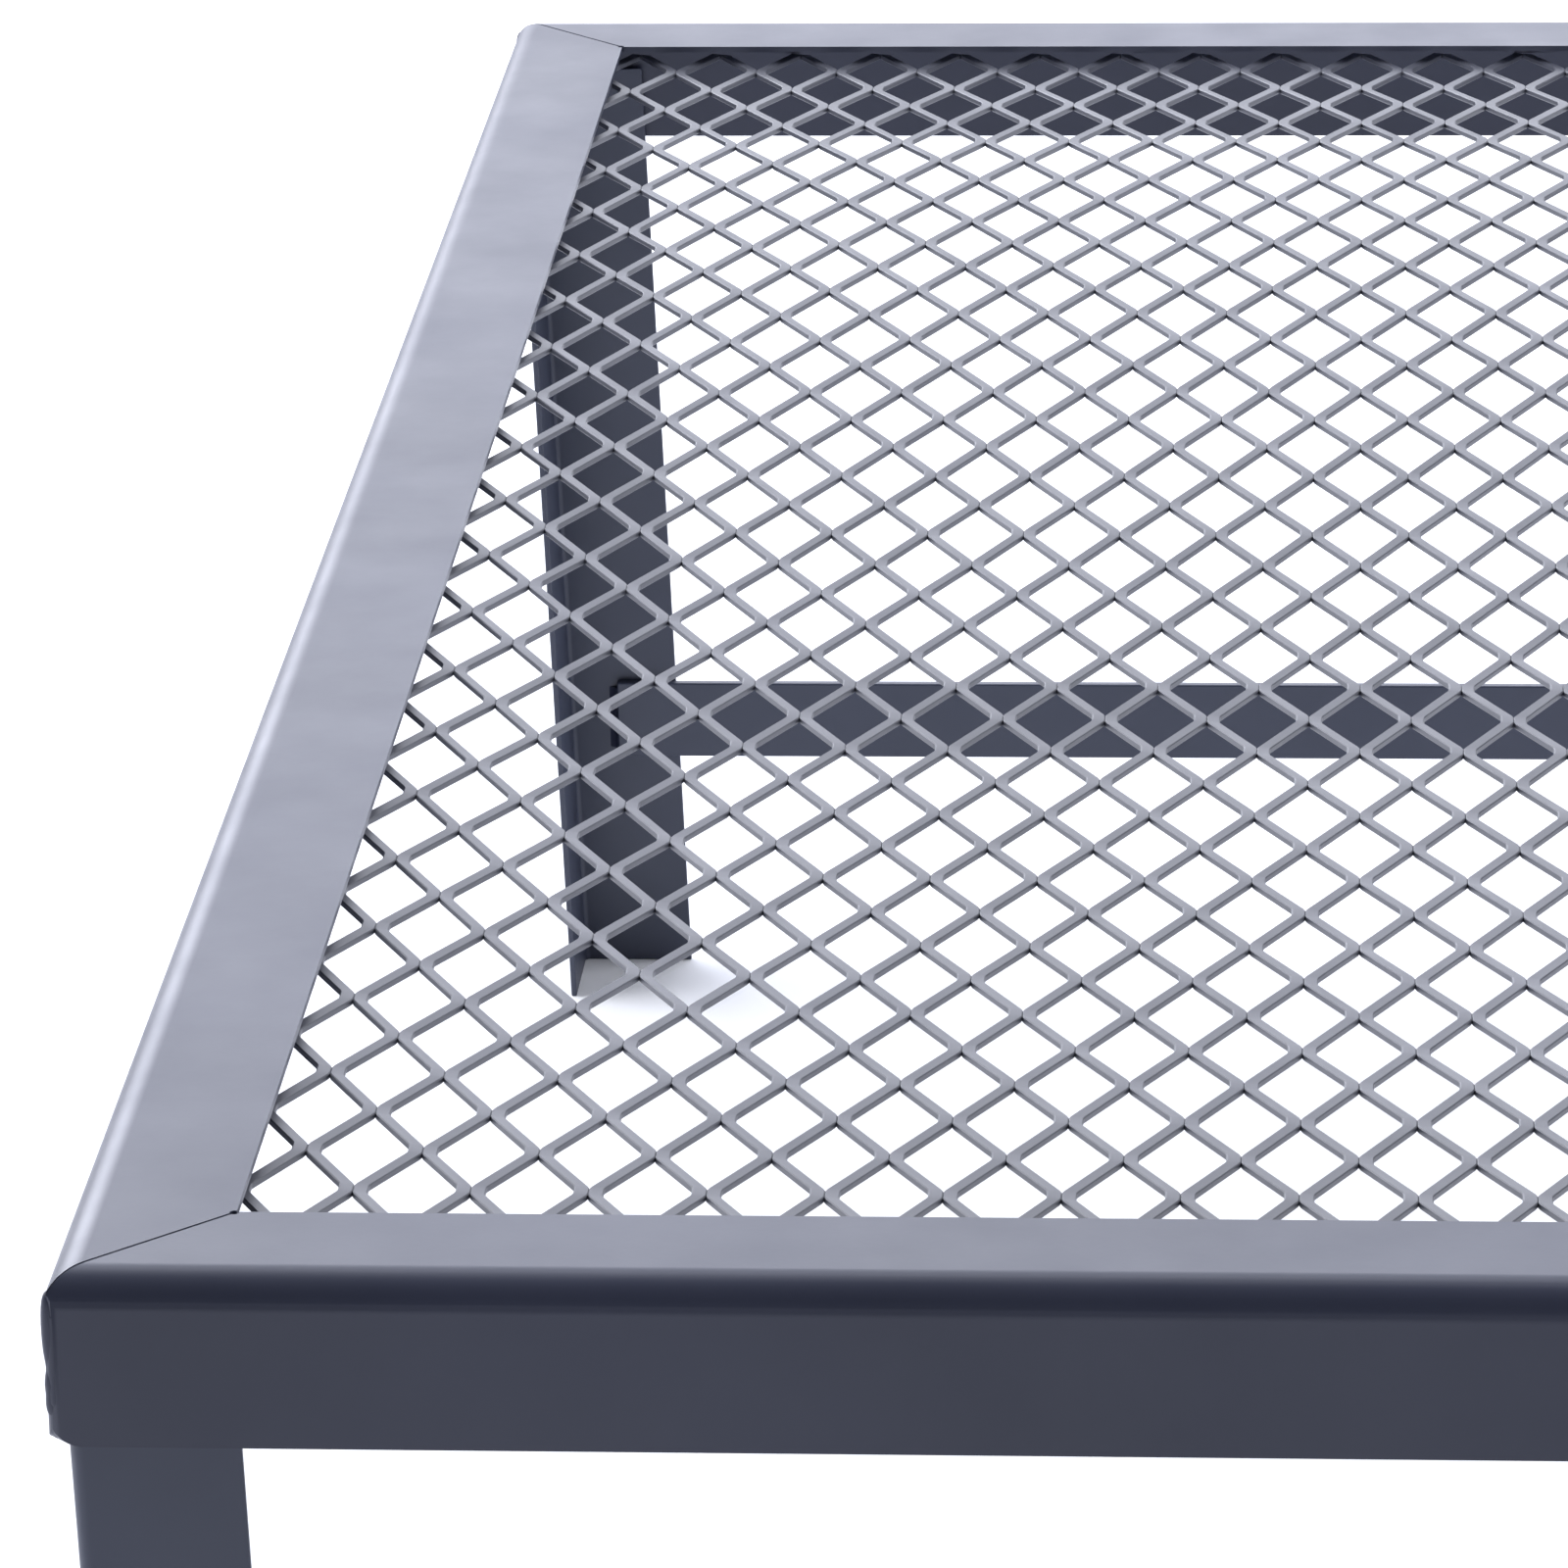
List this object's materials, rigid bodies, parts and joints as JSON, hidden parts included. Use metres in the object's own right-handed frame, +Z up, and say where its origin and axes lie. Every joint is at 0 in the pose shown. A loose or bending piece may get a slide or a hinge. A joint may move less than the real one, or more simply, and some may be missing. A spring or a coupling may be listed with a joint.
{
  "type": "folding over-fire grill grate",
  "caption": "Free-standing rectangular over-fire grate: mitred angle frame, expanded metal panel and angle legs that fold in under the frame.",
  "frame": {"origin": "on the floor, at the middle of the plan", "axes": "+Z up, front short side of the grate faces -Y, +X to the right seen from the front; Y is the long way of the grate"},
  "size_m": [0.4658, 0.918, 0.278],
  "materials": {
    "powder_coat": "satin dark blue-grey powder coat on folded sheet steel",
    "mesh_coat": "satin dark grey coat on expanded steel",
    "coated_weld": "satin coat over weld bead",
    "rivet_coat": "satin coat over steel rivet",
    "washer_steel": "plain zinc washer"
  },
  "bodies": {
    "grate_frame": {"rail_front": "powder_coat", "rail_rear": "powder_coat", "rail_left": "powder_coat", "rail_right": "powder_coat", "corner_weld_front_left": "coated_weld", "corner_weld_front_right": "coated_weld", "corner_weld_rear_left": "coated_weld", "corner_weld_rear_right": "coated_weld", "mesh_panel": "mesh_coat", "mesh_tacks_front": "coated_weld", "mesh_tacks_rear": "coated_weld", "mesh_tacks_left": "coated_weld", "mesh_tacks_right": "coated_weld", "pivot_rivet_front_left": "rivet_coat", "pivot_rivet_front_right": "rivet_coat", "pivot_rivet_rear_left": "rivet_coat", "pivot_rivet_rear_right": "rivet_coat", "pivot_washer_front_left": "washer_steel", "pivot_washer_front_right": "washer_steel", "pivot_washer_rear_left": "washer_steel", "pivot_washer_rear_right": "washer_steel"},
    "front_legs": {"leg_front_left": "powder_coat", "leg_front_right": "powder_coat", "crossbar_front": "powder_coat", "crossbar_weld_front_left": "coated_weld", "crossbar_weld_front_right": "coated_weld"},
    "rear_legs": {"leg_rear_left": "powder_coat", "leg_rear_right": "powder_coat", "crossbar_rear": "powder_coat", "crossbar_weld_rear_left": "coated_weld", "crossbar_weld_rear_right": "coated_weld"}
  },
  "joints": [
    {"name": "front_legs_fold", "type": "hinge", "parent": "grate_frame", "child": "front_legs", "pos_m": [0, -0.4382, 0.2595], "axis": [1, 0, 0], "range_deg": [0, 90]},
    {"name": "rear_legs_fold", "type": "hinge", "parent": "grate_frame", "child": "rear_legs", "pos_m": [0, 0.4382, 0.2595], "axis": [-1, 0, 0], "range_deg": [0, 90]}
  ]
}
